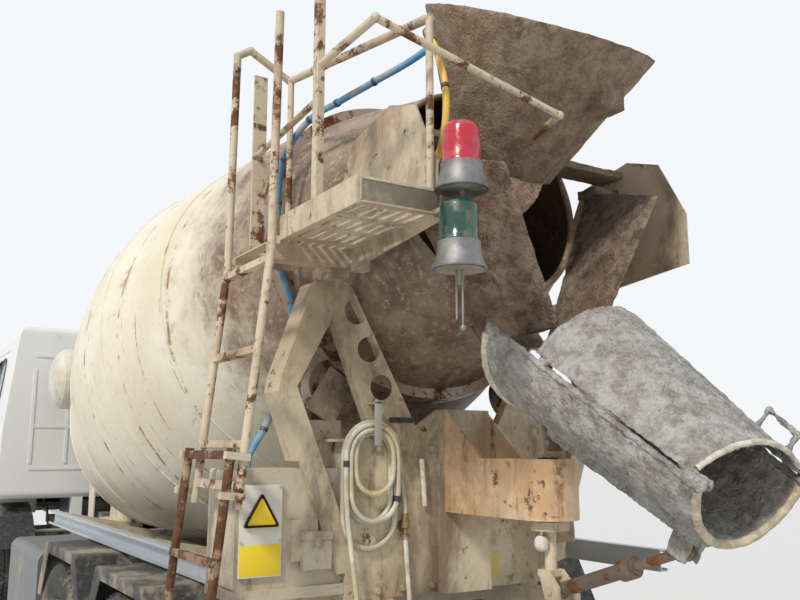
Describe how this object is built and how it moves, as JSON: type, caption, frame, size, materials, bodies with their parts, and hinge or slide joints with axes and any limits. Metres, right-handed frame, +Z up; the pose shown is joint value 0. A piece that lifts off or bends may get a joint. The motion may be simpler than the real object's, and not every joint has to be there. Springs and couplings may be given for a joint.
{
  "type": "concrete mixer truck",
  "caption": "Forward-control concrete mixer truck with a tilted rotating drum, loading hopper, swinging folding discharge chute, side ladder and platform.",
  "frame": {"origin": "on the ground, under the middle of the length and width of the truck", "axes": "+X forward to the cab, +Y to the left, +Z up"},
  "size_m": [9.0895, 2.8, 3.6547],
  "materials": {
    "frame_black": "satin paint, dusty",
    "axle_black": "painted, oily",
    "engine_grey": "painted casting",
    "body_cream": "chalky paint with cement dust",
    "drum_paint": "semi-gloss paint, cement crust",
    "hopper_steel": "worn paint under cement crust",
    "chute_steel": "bare and rusted steel with cement crust",
    "jack_steel": "oily steel",
    "track_rust": "rolled bright and rusty",
    "rail_zinc": "dull",
    "guard_black": "matt",
    "tank_grey": "satin",
    "water_paint": "semi-gloss paint",
    "cab_white": "gloss paint",
    "cab_trim": "grained",
    "clear_glass": "clear",
    "tyre": "worn rubber",
    "rim_paint": "semi-gloss paint",
    "hose_rubber": "satin",
    "cord_rubber": "dusty",
    "lamp_body": "clear coloured"
  },
  "bodies": {
    "truck": {"chassis_frame": "frame_black", "front_axle": "axle_black", "drive_axles": "axle_black", "engine_block": "engine_grey", "sub_frame": "body_cream", "front_pedestal": "body_cream", "rear_pedestal": "body_cream", "swivel_arm": "body_cream", "charge_hopper": "hopper_steel", "discharge_collector": "hopper_steel", "platform": "body_cream", "ladder_rails": "body_cream", "side_rails": "rail_zinc", "mudguards": "guard_black", "side_tanks": "tank_grey", "water_tank": "water_paint", "sign_box": "body_cream", "front_bumper": "cab_white", "lamps": "lamp_body", "hoses": "hose_rubber", "hose_coil": "cord_rubber", "hose_tail": "cord_rubber"},
    "cab": {"cab_shell": "cab_white", "cab_glass": "clear_glass", "cab_interior": "cab_trim"},
    "left_door": {"door_left": "cab_white", "door_glass_left": "clear_glass"},
    "right_door": {"door_right": "cab_white", "door_glass_right": "clear_glass"},
    "left_knuckle": {"knuckle_left": "axle_black"},
    "right_knuckle": {"knuckle_right": "axle_black"},
    "front_left_wheel": {"front_tyre_left": "tyre", "front_rim_left": "rim_paint"},
    "front_right_wheel": {"front_tyre_right": "tyre", "front_rim_right": "rim_paint"},
    "mid_left_wheels": {"mid_tyres_left": "tyre", "mid_rims_left": "rim_paint"},
    "mid_right_wheels": {"mid_tyres_right": "tyre", "mid_rims_right": "rim_paint"},
    "rear_left_wheels": {"rear_tyres_left": "tyre", "rear_rims_left": "rim_paint"},
    "rear_right_wheels": {"rear_tyres_right": "tyre", "rear_rims_right": "rim_paint"},
    "drum": {"drum_shell": "drum_paint", "roller_track": "track_rust"},
    "left_roller": {"roller_left": "track_rust"},
    "right_roller": {"roller_right": "track_rust"},
    "swivel": {"chute_swivel": "body_cream"},
    "main_chute": {"chute": "chute_steel"},
    "folding_chute": {"chute_extension": "chute_steel"},
    "jack_barrel": {"strut_barrel": "jack_steel"},
    "jack_rod": {"strut_rod": "jack_steel"},
    "sliding_ladder": {"ladder_lower": "body_cream"}
  },
  "joints": [
    {"name": "steer_left", "type": "hinge", "parent": "truck", "child": "left_knuckle", "pos_m": [3.17822, 0.85, 0.52], "axis": [0, 0, 1], "range_deg": [-35, 35]},
    {"name": "steer_right", "type": "hinge", "parent": "truck", "child": "right_knuckle", "pos_m": [3.17822, -0.85, 0.52], "axis": [0, 0, 1], "range_deg": [-35, 35]},
    {"name": "front_left_spin", "type": "hinge", "parent": "left_knuckle", "child": "front_left_wheel", "pos_m": [3.17822, 1.03, 0.52], "axis": [0, 1, 0], "continuous": true},
    {"name": "front_right_spin", "type": "hinge", "parent": "right_knuckle", "child": "front_right_wheel", "pos_m": [3.17822, -1.03, 0.52], "axis": [0, 1, 0], "continuous": true},
    {"name": "mid_left_spin", "type": "hinge", "parent": "truck", "child": "mid_left_wheels", "pos_m": [-0.62178, 0.925, 0.52], "axis": [0, 1, 0], "continuous": true},
    {"name": "mid_right_spin", "type": "hinge", "parent": "truck", "child": "mid_right_wheels", "pos_m": [-0.62178, -0.925, 0.52], "axis": [0, 1, 0], "continuous": true},
    {"name": "rear_left_spin", "type": "hinge", "parent": "truck", "child": "rear_left_wheels", "pos_m": [-1.97178, 0.925, 0.52], "axis": [0, 1, 0], "continuous": true},
    {"name": "rear_right_spin", "type": "hinge", "parent": "truck", "child": "rear_right_wheels", "pos_m": [-1.97178, -0.925, 0.52], "axis": [0, 1, 0], "continuous": true},
    {"name": "drum_spin", "type": "hinge", "parent": "truck", "child": "drum", "pos_m": [-0.47178, 0, 2.25], "axis": [-0.9781, 0, 0.2079], "continuous": true},
    {"name": "left_roller_spin", "type": "hinge", "parent": "truck", "child": "left_roller", "pos_m": [-2.72767, 0.52499, 1.96298], "axis": [-0.9781, 0, 0.2079], "continuous": true},
    {"name": "right_roller_spin", "type": "hinge", "parent": "truck", "child": "right_roller", "pos_m": [-2.72767, -0.52499, 1.96298], "axis": [-0.9781, 0, 0.2079], "continuous": true},
    {"name": "chute_swing", "type": "hinge", "parent": "truck", "child": "swivel", "pos_m": [-3.57178, 0, 1.545], "axis": [0, 0, 1], "range_deg": [-88, 88]},
    {"name": "chute_lift", "type": "hinge", "parent": "swivel", "child": "main_chute", "pos_m": [-3.57178, 0, 1.765], "axis": [0, 1, 0], "range_deg": [-10, 12]},
    {"name": "chute_fold", "type": "hinge", "parent": "main_chute", "child": "folding_chute", "pos_m": [-4.52132, 0, 1.59769], "axis": [0, -1, 0], "range_deg": [0, 170]},
    {"name": "jack_turn", "type": "hinge", "parent": "swivel", "child": "jack_barrel", "pos_m": [-3.61178, 0, 1.17], "axis": [0, 1, 0], "range_deg": [-9, 10]},
    {"name": "jack_stroke", "type": "slide", "parent": "jack_barrel", "child": "jack_rod", "axis": [-0.9483, 0, 0.3172], "range_m": [-0.12, 0.14]},
    {"name": "ladder_slide", "type": "slide", "parent": "truck", "child": "sliding_ladder", "axis": [0, -0.1097, 0.994], "range_m": [0, 0.55]},
    {"name": "cab_tilt", "type": "hinge", "parent": "truck", "child": "cab", "pos_m": [4.27822, 0, 1.05], "axis": [0, 1, 0], "range_deg": [0, 55]},
    {"name": "left_door_swing", "type": "hinge", "parent": "cab", "child": "left_door", "pos_m": [4.22222, 1.17, 1.54], "axis": [0, 0, -1], "range_deg": [0, 65]},
    {"name": "right_door_swing", "type": "hinge", "parent": "cab", "child": "right_door", "pos_m": [4.22222, -1.17, 1.54], "axis": [0, 0, 1], "range_deg": [0, 65]}
  ],
  "couplings": [
    {"joint": "steer_right", "follows": "steer_left", "ratio": 1},
    {"joint": "left_roller_spin", "follows": "drum_spin", "ratio": -6.32},
    {"joint": "right_roller_spin", "follows": "drum_spin", "ratio": -6.32},
    {"joint": "jack_turn", "follows": "chute_lift", "ratio": 0.762},
    {"joint": "jack_stroke", "follows": "chute_lift", "m_per_rad": 0.577}
  ]
}
